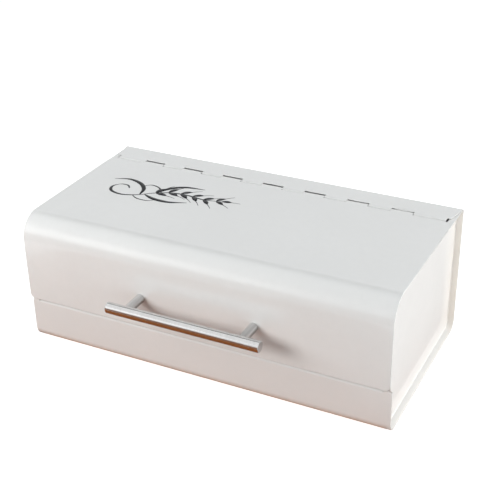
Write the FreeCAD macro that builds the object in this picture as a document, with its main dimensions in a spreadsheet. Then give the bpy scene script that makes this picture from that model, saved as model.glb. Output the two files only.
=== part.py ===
import FreeCAD, Part

"""Steel bread box with a lift-up lid and a bar handle.

The body is one sheet wrapped round the bottom, the back and a strip of the top, closed at each end
by a dished panel. The lid is one sheet bent over the front. Rolled knuckles of both sheets turn on
one long pin. +Z is up, the front faces -Y, and the origin is under the middle of the whole box.
"""

import math
import os

import Sketcher
from FreeCAD import Placement, Rotation, Vector

SIZES = {
    # Overall
    "body_width": 412.0,
    "body_depth": 215.0,
    "body_height": 149.0,
    "sheet_thickness": 0.8,
    # Body wrap
    "sill_height": 49.5,
    "sill_setback": 4.2,
    "body_bend": 12.0,
    "back_bend": 5.0,
    "sill_corner": 5.0,
    "strip_corner": 4.0,
    # Hems folded inwards along the sill's top and the lid's lower edge
    "hem_depth": 8.0,
    "hem_clearance": 2.0,
    # Side panels
    "panel_depth": 7.8,
    "panel_bend": 4.0,
    "panel_gap": 0.4,
    "panel_top_bend": 24.0,
    "panel_notch_gap": 0.5,
    # Lid
    "lid_side_gap": 1.0,
    "lid_bend": 26.0,
    "lid_corner": 5.0,
    "lid_sill_gap": 3.3,
    # Hinge
    "pin_diameter": 4.0,
    "pin_gap": 0.05,
    "pin_inset": 35.2,
    "pin_recess": 1.5,
    "knuckle_pitch": 50.0,
    "lid_knuckle_width": 24.2,
    "knuckle_side_gap": 0.4,
    "knuckle_edge_gap": 1.35,
    "end_knuckle_inset": 6.0,
    "end_knuckle_least": 25.0,
    # Handle
    "bar_diameter": 12.0,
    "bar_length": 170.0,
    "bar_edge": 0.6,
    "handle_projection": 35.0,
    "handle_height": 87.5,
    "post_spacing": 128.0,
    "post_diameter": 10.0,
    "post_edge": 0.3,
    "saddle_gap": 0.02,
    # Handle fasteners
    "screw_diameter": 4.0,
    "screw_gap": 0.05,
    "screw_reach": 10.0,
    "screw_head_diameter": 8.0,
    "screw_head_height": 2.6,
    "screw_head_edge": 1.0,
    "recess_width": 1.1,
    "recess_length": 4.4,
    "recess_depth": 1.4,
    "lid_hole_gap": 0.25,
    "washer_diameter": 9.0,
    "washer_thickness": 0.8,
    "washer_gap": 0.15,
    "stud_reach_bar": 7.0,
    "stud_reach_post": 8.0,
    "hole_spare": 1.0,
    # Feet
    "foot_diameter": 12.0,
    "foot_height": 1.5,
    "foot_edge": 0.4,
    "foot_inset": 26.0,
}

doc = FreeCAD.newDocument("bread_box")
sizes = doc.addObject("Spreadsheet::Sheet", "Sizes")
for row, (alias, number) in enumerate(SIZES.items(), start=1):
    sizes.set(f"A{row}", alias)
    sizes.set(f"B{row}", str(number))
    sizes.setAlias(f"B{row}", alias)
doc.recompute()


def size(alias):
    """The expression that reads one driving dimension."""
    return f"Sizes.{alias}"


def value(expression):
    """What an expression comes to, in millimetres."""
    return float(sizes.evalExpression(str(expression)))


# Places worked out from the driving dimensions, as expressions that every sub-part shares.
SHEET = size("sheet_thickness")
HALF_BODY = f"({size('body_width')} / 2)"
HALF_LID = f"({HALF_BODY} - {size('lid_side_gap')})"
FRONT = f"(({size('handle_projection')} - {size('body_depth')}) / 2)"
BACK = f"({FRONT} + {size('body_depth')})"
BOTTOM = size("foot_height")
TOP = f"({BOTTOM} + {size('body_height')})"
SILL_FRONT = f"({FRONT} + {size('sill_setback')})"
SILL_TOP = f"({BOTTOM} + {size('sill_height')})"
LID_LOW = f"({SILL_TOP} + {size('lid_sill_gap')})"
BORE_RADIUS = f"({size('pin_diameter')} / 2 + {size('pin_gap')})"
KNUCKLE_RADIUS = f"({BORE_RADIUS} + {SHEET})"
PIN_Y = f"({BACK} - {size('pin_inset')})"
PIN_Z = f"({TOP} - {KNUCKLE_RADIUS})"
EDGE_REACH = f"({KNUCKLE_RADIUS} + {size('knuckle_edge_gap')})"
STRIP_EDGE = f"({PIN_Y} + {EDGE_REACH})"
LID_EDGE = f"({PIN_Y} - {EDGE_REACH})"
END_KNUCKLE = f"({HALF_BODY} - {size('end_knuckle_inset')})"
LID_SLOT = f"({size('lid_knuckle_width')} + 2 * {size('knuckle_side_gap')})"
BODY_KNUCKLE = f"({size('knuckle_pitch')} - {LID_SLOT})"
BODY_SLOT = f"({BODY_KNUCKLE} + 2 * {size('knuckle_side_gap')})"
OUTER_KNUCKLES = (f"floor(({END_KNUCKLE} - {size('end_knuckle_least')} - {LID_SLOT} / 2)"
                  f" / {size('knuckle_pitch')})")
LID_KNUCKLES = f"(2 * {OUTER_KNUCKLES} + 1)"
BAR_Y = f"({FRONT} - {size('handle_projection')} + {size('bar_diameter')} / 2)"
BAR_Z = f"({BOTTOM} + {size('handle_height')})"
SCREW_RADIUS = f"({size('screw_diameter')} / 2)"
TAPPED_RADIUS = f"({SCREW_RADIUS} + {size('screw_gap')})"
LID_INSIDE = f"({FRONT} + {SHEET})"
BAR_BACK = f"({BAR_Y} + {size('bar_diameter')} / 2)"
SIDES = {"left": -1, "right": 1}


# Helpers for sketches and features.

def new_body(label):
    """An empty PartDesign body whose label names its node."""
    body = doc.addObject("PartDesign::Body", label)
    body.Label = label
    return body


def new_sketch(body, name, plane, offset="0"):
    """A sketch on one of the body's own origin planes, moved along the plane's normal."""
    sketch = body.newObject("Sketcher::SketchObject", f"{body.Name}_{name}")
    origin_plane = next(item for item in body.Origin.OriginFeatures if item.Role == plane)
    sketch.AttachmentSupport = [(origin_plane, "")]
    sketch.MapMode = "FlatFace"
    sketch.setExpression("AttachmentOffset.Base.z", str(offset))
    sketch.AttachmentOffset = Placement(Vector(0, 0, value(offset)), Rotation())
    return sketch


def bind(sketch, kind, places, expression):
    """Add one dimensional constraint, and tie it to the sizes."""
    number = value(expression)
    index = sketch.addConstraint(Sketcher.Constraint(kind, *places, number))
    sketch.setExpression(f"Constraints[{index}]", str(expression))


def add_arc(sketch, centre, first, last, clockwise):
    """An arc between two spots, with the numbers of its first and last ends in the sketch."""
    angles = [math.atan2(spot.y - centre.y, spot.x - centre.x) for spot in (first, last)]
    if clockwise:
        angles.reverse()
    circle = Part.Circle(centre, Vector(0, 0, 1), (first - centre).Length)
    arc = sketch.addGeometry(Part.ArcOfCircle(circle, *angles), False)
    return (arc, 2, 1) if clockwise else (arc, 1, 2)


def draw_outline(sketch, corners):
    """A closed outline of level and upright lines, through corners (across, up, bend radius)."""
    count = len(corners)
    spots = [Vector(value(across), value(up), 0) for across, up, _ in corners]
    radii = [value(radius) for _, _, radius in corners]
    starts, ends = [], []
    for index, spot in enumerate(spots):
        before = (spots[index - 1] - spot).normalize()
        after = (spots[(index + 1) % count] - spot).normalize()
        starts.append(spot + after * radii[index])
        ends.append(spot + before * radii[index])
    lines = [sketch.addGeometry(Part.LineSegment(start, ends[(index + 1) % count]), False)
             for index, start in enumerate(starts)]
    for index, line in enumerate(lines):
        across, up, _ = corners[index]
        if near(spots[index].y, spots[(index + 1) % count].y):
            sketch.addConstraint(Sketcher.Constraint("Horizontal", line))
            bind(sketch, "DistanceY", (-1, 1, line, 1), up)
        else:
            sketch.addConstraint(Sketcher.Constraint("Vertical", line))
            bind(sketch, "DistanceX", (-1, 1, line, 1), across)
    for index, spot in enumerate(spots):
        into, out_of = lines[index - 1], lines[index]
        if radii[index] == 0:
            sketch.addConstraint(Sketcher.Constraint("Coincident", into, 2, out_of, 1))
            continue
        centre = starts[index] + ends[index] - spot
        clockwise = (ends[index] - centre).cross(starts[index] - centre).z < 0
        bend, first, last = add_arc(sketch, centre, ends[index], starts[index], clockwise)
        sketch.addConstraint(Sketcher.Constraint("Tangent", into, 2, bend, first))
        sketch.addConstraint(Sketcher.Constraint("Tangent", bend, last, out_of, 1))
        bind(sketch, "Radius", (bend,), corners[index][2])


def draw_rectangle(sketch, left, right, low, high):
    """A square-cornered rectangle between four expressions."""
    draw_outline(sketch, [(left, low, 0), (right, low, 0), (right, high, 0), (left, high, 0)])


def draw_circle(sketch, across, up, radius):
    """A circle whose centre and radius are expressions."""
    centre = Vector(value(across), value(up), 0)
    circle = sketch.addGeometry(Part.Circle(centre, Vector(0, 0, 1), value(radius)), False)
    bind(sketch, "Radius", (circle,), radius)
    bind(sketch, "DistanceX", (-1, 1, circle, 3), across)
    bind(sketch, "DistanceY", (-1, 1, circle, 3), up)


def draw_roll(sketch, edge, towards):
    """The section of a sheet rolled three quarters round the pin.

    The sheet comes from its edge towards the back of the pin (towards +1) or the front (-1).
    """
    pin_y, pin_z, start = value(PIN_Y), value(PIN_Z), value(edge)
    outer, inner = value(KNUCKLE_RADIUS), value(BORE_RADIUS)
    centre = Vector(pin_y, pin_z, 0)
    over, under = Vector(pin_y, pin_z + outer, 0), Vector(pin_y, pin_z + inner, 0)
    lip_out, lip_in = (Vector(pin_y + towards * radius, pin_z, 0) for radius in (outer, inner))
    start_over, start_under = (Vector(start, pin_z + radius, 0) for radius in (outer, inner))
    top = sketch.addGeometry(Part.LineSegment(start_over, over), False)
    lip = sketch.addGeometry(Part.LineSegment(lip_out, lip_in), False)
    underside = sketch.addGeometry(Part.LineSegment(under, start_under), False)
    cut = sketch.addGeometry(Part.LineSegment(start_under, start_over), False)
    rolled, rolled_first, rolled_last = add_arc(sketch, centre, over, lip_out, towards < 0)
    bore, bore_first, bore_last = add_arc(sketch, centre, lip_in, under, towards > 0)
    for line in (top, lip, underside):
        sketch.addConstraint(Sketcher.Constraint("Horizontal", line))
    sketch.addConstraint(Sketcher.Constraint("Vertical", cut))
    sketch.addConstraint(Sketcher.Constraint("Tangent", top, 2, rolled, rolled_first))
    sketch.addConstraint(Sketcher.Constraint("Coincident", rolled, rolled_last, lip, 1))
    sketch.addConstraint(Sketcher.Constraint("Coincident", lip, 2, bore, bore_first))
    sketch.addConstraint(Sketcher.Constraint("Tangent", bore, bore_last, underside, 1))
    sketch.addConstraint(Sketcher.Constraint("Coincident", underside, 2, cut, 1))
    sketch.addConstraint(Sketcher.Constraint("Coincident", cut, 2, top, 1))
    bind(sketch, "DistanceX", (-1, 1, cut, 1), edge)
    bind(sketch, "DistanceY", (-1, 1, top, 1), TOP)
    bind(sketch, "DistanceY", (-1, 1, underside, 1), f"({TOP} - {SHEET})")
    bind(sketch, "DistanceY", (-1, 1, lip, 1), PIN_Z)
    for arc, radius in ((rolled, KNUCKLE_RADIUS), (bore, BORE_RADIUS)):
        bind(sketch, "Radius", (arc,), radius)
        bind(sketch, "DistanceX", (-1, 1, arc, 3), PIN_Y)


def extrude(body, kind, name, sketch, length, symmetric=False, backwards=False):
    """A Pad or Pocket of one sketch, with its length tied to the sizes."""
    feature = body.newObject(f"PartDesign::{kind}", f"{body.Name}_{name}")
    feature.Profile = sketch
    feature.SideType = "Symmetric" if symmetric else "One side"
    feature.Reversed = backwards
    feature.Length = value(length)
    feature.setExpression("Length", str(length))
    body.Tip = feature
    doc.recompute()
    return feature


def round_edges(body, name, radius, chosen, kind="Fillet"):
    """Fillet, or chamfer, the edges of the body's tip that a test picks."""
    base = body.Tip
    edges = [f"Edge{index + 1}" for index, edge in enumerate(base.Shape.Edges) if chosen(edge)]
    if not edges:
        raise RuntimeError(f"{body.Name}: no edge to round for {name}")
    feature = body.newObject(f"PartDesign::{kind}", f"{body.Name}_{name}")
    feature.Base = (base, edges)
    setting = "Radius" if kind == "Fillet" else "Size"
    setattr(feature, setting, value(radius))
    feature.setExpression(setting, str(radius))
    body.Tip = feature
    doc.recompute()
    return feature


def repeat_across(body, name, original, count, pitch):
    """Repeat a feature along X, from its own place towards +X."""
    pattern = body.newObject("PartDesign::LinearPattern", f"{body.Name}_{name}")
    pattern.Originals = [original]
    x_axis = next(item for item in body.Origin.OriginFeatures if item.Role == "X_Axis")
    pattern.Direction = (x_axis, [""])
    pattern.Mode = "Spacing"
    pattern.Offset = value(pitch)
    pattern.setExpression("Offset", str(pitch))
    pattern.Occurrences = int(value(count))
    pattern.setExpression("Occurrences", str(count))
    body.Tip = pattern
    doc.recompute()
    return pattern


def near(first, second):
    """Whether two numbers are the same place."""
    return abs(first - second) < 1e-4


def lies_at(edge, axis, place):
    """Whether a whole edge lies at one value of an axis, 0 for X, 1 for Y and 2 for Z."""
    box = edge.BoundBox
    low = (box.XMin, box.YMin, box.ZMin)[axis]
    high = (box.XMax, box.YMax, box.ZMax)[axis]
    return abs(low - place) < 1e-3 and abs(high - place) < 1e-3


# Rolled hinge knuckles, the same roll on the body and on the lid.

def add_rolls(body, reach, towards):
    """A rolled edge on the pin's axis, from -X reach to +X reach, lapped onto its sheet."""
    roll = new_sketch(body, "roll", "YZ_Plane")
    draw_roll(roll, f"({PIN_Y} + {towards} * ({EDGE_REACH} + {SHEET}))", towards)
    extrude(body, "Pad", "roll_pad", roll, f"(2 * {reach})", symmetric=True)


def cut_slots(body, first_centre, slot, count, low_y, high_y):
    """Slots through the rolled edge for the other sheet's knuckles, at the knuckle pitch."""
    window = new_sketch(body, "slot", "XY_Plane", offset=TOP)
    draw_rectangle(window, f"({first_centre} - {slot} / 2)", f"({first_centre} + {slot} / 2)",
                   low_y, high_y)
    depth = f"(2 * {KNUCKLE_RADIUS} + {SHEET})"
    first = extrude(body, "Pocket", "slot_cut", window, depth)
    repeat_across(body, "slots", first, count, size("knuckle_pitch"))


def build_body_shell():
    """One sheet: sill, bottom, back and the top strip with its rolled knuckles."""
    body = new_body("body_shell")
    bend, back_bend = size("body_bend"), size("back_bend")
    wrap = new_sketch(body, "wrap", "YZ_Plane")
    draw_outline(wrap, [
        (SILL_FRONT, SILL_TOP, 0),
        (SILL_FRONT, BOTTOM, bend),
        (BACK, BOTTOM, bend),
        (BACK, TOP, back_bend),
        (STRIP_EDGE, TOP, 0),
        (STRIP_EDGE, f"({TOP} - {SHEET})", 0),
        (f"({BACK} - {SHEET})", f"({TOP} - {SHEET})", f"({back_bend} - {SHEET})"),
        (f"({BACK} - {SHEET})", f"({BOTTOM} + {SHEET})", f"({bend} - {SHEET})"),
        (f"({SILL_FRONT} + {SHEET})", f"({BOTTOM} + {SHEET})", f"({bend} - {SHEET})"),
        (f"({SILL_FRONT} + {SHEET})", SILL_TOP, 0),
    ])
    extrude(body, "Pad", "wrap_pad", wrap, size("body_width"), symmetric=True)
    sill_top, half = value(SILL_TOP), value(HALF_BODY)
    round_edges(body, "sill_corners", size("sill_corner"),
                lambda edge: lies_at(edge, 2, sill_top) and near(edge.Length, value(SHEET)))
    strip_edge = value(STRIP_EDGE)
    round_edges(body, "strip_corners", size("strip_corner"),
                lambda edge: lies_at(edge, 1, strip_edge) and near(edge.Length, value(SHEET))
                and near(abs(edge.CenterOfMass.x), half))
    hem = new_sketch(body, "hem", "YZ_Plane")
    draw_rectangle(hem, f"({SILL_FRONT} + {SHEET})", f"({SILL_FRONT} + 2 * {SHEET})",
                   f"({SILL_TOP} - {size('hem_depth')})", SILL_TOP)
    extrude(body, "Pad", "hem_pad", hem,
            f"(2 * ({HALF_BODY} - {size('panel_depth')} - {size('hem_clearance')}))",
            symmetric=True)
    add_rolls(body, END_KNUCKLE, 1)
    cut_slots(body, f"(-{OUTER_KNUCKLES} * {size('knuckle_pitch')})", LID_SLOT, LID_KNUCKLES,
              f"({PIN_Y} - {EDGE_REACH})", STRIP_EDGE)
    return body


def build_side_panel(side):
    """A dished end panel: a flat web, bent outwards all round to a flange inside the wrap."""
    body = new_body(f"{side}_side_panel")
    sign = SIDES[side]
    corner = f"({size('body_bend')} - {SHEET})"
    front, back = f"({SILL_FRONT} + {SHEET})", f"({BACK} - {SHEET})"
    low, high = f"({BOTTOM} + {SHEET})", f"({TOP} - {SHEET} - {size('panel_gap')})"

    def dish(name, inset):
        """The panel's outline, moved inwards by an inset."""
        sketch = new_sketch(body, name, "YZ_Plane", offset=f"({sign} * {HALF_BODY})")
        draw_outline(sketch, [
            (f"({front} + {inset})", f"({low} + {inset})", f"({corner} - {inset})"),
            (f"({back} - {inset})", f"({low} + {inset})", f"({corner} - {inset})"),
            (f"({back} - {inset})", f"({high} - {inset})", f"({size('back_bend')} - {inset})"),
            (f"({front} + {inset})", f"({high} - {inset})",
             f"({size('panel_top_bend')} - {inset})"),
        ])
        return sketch

    inwards = sign > 0
    extrude(body, "Pad", "block", dish("outline", "0"), size("panel_depth"), backwards=inwards)
    extrude(body, "Pocket", "dish_cut", dish("dish_outline", SHEET),
            f"({size('panel_depth')} - {SHEET})", backwards=not inwards)
    floor = sign * value(f"({HALF_BODY} - {size('panel_depth')} + {SHEET})")
    round_edges(body, "inner_bend", f"({size('panel_bend')} - {SHEET})",
                lambda edge: lies_at(edge, 0, floor))
    web = sign * value(f"({HALF_BODY} - {size('panel_depth')})")
    round_edges(body, "outer_bend", size("panel_bend"), lambda edge: lies_at(edge, 0, web))
    notch = new_sketch(body, "hinge_notch", "YZ_Plane", offset=f"({sign} * {HALF_BODY})")
    clear = f"({KNUCKLE_RADIUS} + {size('panel_notch_gap')})"
    draw_rectangle(notch, f"({PIN_Y} - {clear})", f"({PIN_Y} + {clear})",
                   f"({PIN_Z} - {clear})", f"({TOP} + {SHEET})")
    extrude(body, "Pocket", "hinge_notch_cut", notch, size("panel_depth"), backwards=not inwards)
    return body


def build_lid():
    """One sheet bent over the front, hemmed below, with its rolled knuckles and screw holes."""
    body = new_body("lid")
    bend = size("lid_bend")
    profile = new_sketch(body, "profile", "YZ_Plane")
    draw_outline(profile, [
        (FRONT, LID_LOW, 0),
        (FRONT, TOP, bend),
        (LID_EDGE, TOP, 0),
        (LID_EDGE, f"({TOP} - {SHEET})", 0),
        (LID_INSIDE, f"({TOP} - {SHEET})", f"({bend} - {SHEET})"),
        (LID_INSIDE, LID_LOW, 0),
    ])
    extrude(body, "Pad", "profile_pad", profile, f"(2 * {HALF_LID})", symmetric=True)
    low, rear = value(LID_LOW), value(LID_EDGE)
    round_edges(body, "corners", size("lid_corner"),
                lambda edge: near(edge.Length, value(SHEET))
                and (lies_at(edge, 2, low) or lies_at(edge, 1, rear)))
    hem = new_sketch(body, "hem", "YZ_Plane")
    draw_rectangle(hem, LID_INSIDE, f"({LID_INSIDE} + {SHEET})",
                   LID_LOW, f"({LID_LOW} + {size('hem_depth')})")
    extrude(body, "Pad", "hem_pad", hem,
            f"(2 * ({HALF_LID} - {size('lid_corner')} - {size('hem_clearance')}))",
            symmetric=True)
    reach = f"({OUTER_KNUCKLES} * {size('knuckle_pitch')} + {size('lid_knuckle_width')} / 2)"
    add_rolls(body, reach, -1)
    cut_slots(body, f"((0.5 - {OUTER_KNUCKLES}) * {size('knuckle_pitch')})", BODY_SLOT,
              f"(2 * {OUTER_KNUCKLES})", LID_EDGE, f"({PIN_Y} + {EDGE_REACH})")
    for side, sign in SIDES.items():
        hole = new_sketch(body, f"{side}_hole", "XZ_Plane")
        draw_circle(hole, f"({sign} * {size('post_spacing')} / 2)", BAR_Z,
                    f"({SCREW_RADIUS} + {size('lid_hole_gap')})")
        extrude(body, "Pocket", f"{side}_hole_cut", hole, size("body_depth"), symmetric=True)
    return body


def build_hinge_pin():
    """The wire through all knuckles, ending a little inside the last ones."""
    body = new_body("hinge_pin")
    circle = new_sketch(body, "section", "YZ_Plane")
    draw_circle(circle, PIN_Y, PIN_Z, f"({size('pin_diameter')} / 2)")
    extrude(body, "Pad", "wire", circle, f"(2 * ({END_KNUCKLE} - {size('pin_recess')}))",
            symmetric=True)
    return body


def post_centre(side):
    """Where one post stands along X."""
    return f"({SIDES[side]} * {size('post_spacing')} / 2)"


def tapped_hole(body, name, side, from_y, depth, forwards):
    """A blind hole on a post's axis, drilled forwards or backwards from a Y position."""
    hole = new_sketch(body, name, "XZ_Plane", offset=f"(-1 * {from_y})")
    draw_circle(hole, post_centre(side), BAR_Z, TAPPED_RADIUS)
    extrude(body, "Pocket", f"{name}_cut", hole, f"({depth} + {size('hole_spare')})",
            backwards=forwards)


def build_handle_bar():
    """The round bar, with a tapped hole in its back for each post's stud."""
    body = new_body("handle_bar")
    section = new_sketch(body, "section", "YZ_Plane")
    draw_circle(section, BAR_Y, BAR_Z, f"({size('bar_diameter')} / 2)")
    extrude(body, "Pad", "bar", section, size("bar_length"), symmetric=True)
    half = value(f"({size('bar_length')} / 2)")
    round_edges(body, "ends", size("bar_edge"),
                lambda edge: lies_at(edge, 0, half) or lies_at(edge, 0, -half), kind="Chamfer")
    for side in SIDES:
        tapped_hole(body, f"{side}_stud_hole", side, BAR_BACK, size("stud_reach_bar"), True)
    return body


def build_post(side):
    """A round stand-off: flat on the lid, saddled to the bar, tapped at both ends."""
    body = new_body(f"{side}_handle_post")
    section = new_sketch(body, "section", "XZ_Plane", offset=f"(-1 * {FRONT})")
    draw_circle(section, post_centre(side), BAR_Z, f"({size('post_diameter')} / 2)")
    extrude(body, "Pad", "rod", section, f"({FRONT} - {BAR_Y})")
    foot = value(FRONT)
    round_edges(body, "foot_edge", size("post_edge"), lambda edge: lies_at(edge, 1, foot),
                kind="Chamfer")
    saddle = new_sketch(body, "saddle", "YZ_Plane")
    draw_circle(saddle, BAR_Y, BAR_Z, f"({size('bar_diameter')} / 2 + {size('saddle_gap')})")
    extrude(body, "Pocket", "saddle_cut", saddle, size("body_width"), symmetric=True)
    tapped_hole(body, "screw_hole", side, FRONT, size("screw_reach"), True)
    tapped_hole(body, "stud_hole", side, BAR_Y,
                f"({size('bar_diameter')} / 2 + {size('stud_reach_post')})", False)
    return body


def build_post_stud(side):
    """The set screw that joins a post to the bar."""
    body = new_body(f"{side}_post_stud")
    in_bar, in_post = size("stud_reach_bar"), size("stud_reach_post")
    section = new_sketch(body, "section", "XZ_Plane", offset=f"({in_bar} - {BAR_BACK})")
    draw_circle(section, post_centre(side), BAR_Z, SCREW_RADIUS)
    extrude(body, "Pad", "rod", section, f"({in_bar} + {in_post})", backwards=True)
    return body


def build_lid_screw(side):
    """A pan-head screw from inside the lid into a post, with a cross recess."""
    body = new_body(f"{side}_lid_screw")
    centre = post_centre(side)
    seat = f"({LID_INSIDE} + {size('washer_thickness')})"
    shank = new_sketch(body, "shank", "XZ_Plane", offset=f"(-1 * {seat})")
    draw_circle(shank, centre, BAR_Z, SCREW_RADIUS)
    extrude(body, "Pad", "shank_pad", shank, f"({seat} - {FRONT} + {size('screw_reach')})")
    head = new_sketch(body, "head", "XZ_Plane", offset=f"(-1 * {seat})")
    draw_circle(head, centre, BAR_Z, f"({size('screw_head_diameter')} / 2)")
    extrude(body, "Pad", "head_pad", head, size("screw_head_height"), backwards=True)
    crown = f"({seat} + {size('screw_head_height')})"
    crown_y = value(crown)
    round_edges(body, "crown", size("screw_head_edge"), lambda edge: lies_at(edge, 1, crown_y))
    for name, across, up in (("level", "recess_length", "recess_width"),
                             ("upright", "recess_width", "recess_length")):
        slot = new_sketch(body, f"{name}_recess", "XZ_Plane", offset=f"(-1 * {crown})")
        draw_rectangle(slot,
                       f"({centre} - {size(across)} / 2)", f"({centre} + {size(across)} / 2)",
                       f"({BAR_Z} - {size(up)} / 2)", f"({BAR_Z} + {size(up)} / 2)")
        extrude(body, "Pocket", f"{name}_recess_cut", slot, size("recess_depth"), backwards=True)
    return body


def build_lid_washer(side):
    """A plain washer between the lid and a screw head."""
    body = new_body(f"{side}_lid_washer")
    ring = new_sketch(body, "ring", "XZ_Plane", offset=f"(-1 * {LID_INSIDE})")
    draw_circle(ring, post_centre(side), BAR_Z, f"({size('washer_diameter')} / 2)")
    draw_circle(ring, post_centre(side), BAR_Z, f"({SCREW_RADIUS} + {size('washer_gap')})")
    extrude(body, "Pad", "plate", ring, size("washer_thickness"), backwards=True)
    return body


def build_foot(end, side):
    """A thin rubber pad under one corner of the bottom."""
    body = new_body(f"{end}_{side}_foot")
    inset = size("foot_inset")
    along = f"({SILL_FRONT} + {inset})" if end == "front" else f"({BACK} - {inset})"
    disc = new_sketch(body, "disc", "XY_Plane")
    draw_circle(disc, f"({SIDES[side]} * ({HALF_BODY} - {inset}))", along,
                f"({size('foot_diameter')} / 2)")
    extrude(body, "Pad", "pad", disc, size("foot_height"))
    round_edges(body, "tread_edge", size("foot_edge"), lambda edge: lies_at(edge, 2, 0.0))
    return body


def build_all():
    """Every sub-part, in the order in which the box goes together."""
    parts = [build_body_shell()]
    parts += [build_side_panel(side) for side in SIDES]
    parts += [build_foot(end, side) for end in ("front", "rear") for side in SIDES]
    parts += [build_lid(), build_hinge_pin(), build_handle_bar()]
    for side in SIDES:
        parts += [build_post(side), build_post_stud(side)]
        parts += [build_lid_screw(side), build_lid_washer(side)]
    return parts


def check(parts):
    """Stop if any object failed, or any sub-part's shape isn't one sound solid."""
    failed = [item.Name for item in doc.Objects if {"Invalid", "Error"} & set(item.State)]
    if failed:
        raise RuntimeError(f"failed objects: {failed}")
    for part in parts:
        shape = part.Shape
        if shape.isNull() or not shape.isValid() or len(shape.Solids) != 1:
            raise RuntimeError(f"{part.Label}: not one valid solid")
        print(f"{part.Label:20s} {shape.Volume:12.2f} mm3")


parts = build_all()
doc.recompute()
check(parts)
os.makedirs("parts", exist_ok=True)
for part in parts:
    part.Shape.exportStep(f"parts/{part.Label}.step")
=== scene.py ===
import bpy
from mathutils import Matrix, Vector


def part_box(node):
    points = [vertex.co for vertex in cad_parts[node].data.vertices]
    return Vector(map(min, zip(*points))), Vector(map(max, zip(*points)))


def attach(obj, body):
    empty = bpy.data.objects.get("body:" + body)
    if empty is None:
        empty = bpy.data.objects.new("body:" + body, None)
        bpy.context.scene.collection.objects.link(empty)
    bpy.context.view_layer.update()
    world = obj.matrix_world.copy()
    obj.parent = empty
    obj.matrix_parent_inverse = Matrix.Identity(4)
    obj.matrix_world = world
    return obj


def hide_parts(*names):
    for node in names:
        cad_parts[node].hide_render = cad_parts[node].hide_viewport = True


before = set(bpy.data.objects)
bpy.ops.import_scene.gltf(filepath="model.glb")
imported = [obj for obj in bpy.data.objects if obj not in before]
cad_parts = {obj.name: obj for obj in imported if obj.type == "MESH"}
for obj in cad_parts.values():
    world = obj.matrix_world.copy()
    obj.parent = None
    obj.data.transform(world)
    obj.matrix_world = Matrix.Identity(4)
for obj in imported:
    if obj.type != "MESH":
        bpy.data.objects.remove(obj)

"""Looks of a white steel bread box with a lift-up lid and a bar handle.

Each piece is built round the fixed solids of the frame and rides on their bodies. The frame is in
metres: +Z is up, the front faces -Y, and the origin is under the middle of the box.
"""

import itertools
from math import atan2, copysign, cos, pi, radians, sin, sqrt

import bmesh
import bpy
from bpy.props import FloatProperty, FloatVectorProperty, PointerProperty
from bpy.types import Operator, Panel, PropertyGroup
from mathutils import Matrix, Vector

bl_info = {
    "name": "Bread box",
    "version": (1, 0, 0),
    "blender": (4, 5, 0),
    "location": "3D View > Sidebar > Bread box",
    "description": "Dresses the solids of a steel bread box in painted sheet and brushed steel",
    "category": "Object",
}

MM = 0.001
SIDES = {"left": -1, "right": 1}

# Places read from the frame's solids, in metres.
BODY_LOW, BODY_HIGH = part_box("body_shell")
LID_LOW, LID_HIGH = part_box("lid")
PIN_LOW, PIN_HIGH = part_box("hinge_pin")
BAR_LOW, BAR_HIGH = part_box("handle_bar")
PANEL_LOW, PANEL_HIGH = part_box("right_side_panel")
PIN_CENTRE = (PIN_LOW + PIN_HIGH) / 2
PIN_RADIUS = (PIN_HIGH.z - PIN_LOW.z) / 2
BAR_CENTRE = (BAR_LOW + BAR_HIGH) / 2
BAR_RADIUS = (BAR_HIGH.z - BAR_LOW.z) / 2
TOP = BODY_HIGH.z

# How far apart two places may be and still count as one: as worked out, and as a mesh stores them.
EXACT, STORED = 1e-9, 1e-6


# ---- Settings ----

def length(name, description, millimetres):
    """A size, kept in metres."""
    return FloatProperty(name=name, description=description, default=millimetres * MM,
                         unit="LENGTH", precision=5, min=0.0)


def settings_of(kind, **limits):
    """What makes settings of one sort, each from its name, its description and its default."""
    return lambda name, description, default: kind(name=name, description=description,
                                                   default=default, **limits)


share = settings_of(FloatProperty, min=0.0, max=1.0, subtype="FACTOR")
level = settings_of(FloatProperty, min=0.0)
angle = settings_of(FloatProperty, subtype="ANGLE")
colour = settings_of(FloatVectorProperty, size=3, min=0.0, max=1.0, subtype="COLOR")
position = settings_of(FloatVectorProperty, size=3, subtype="TRANSLATION")


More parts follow.
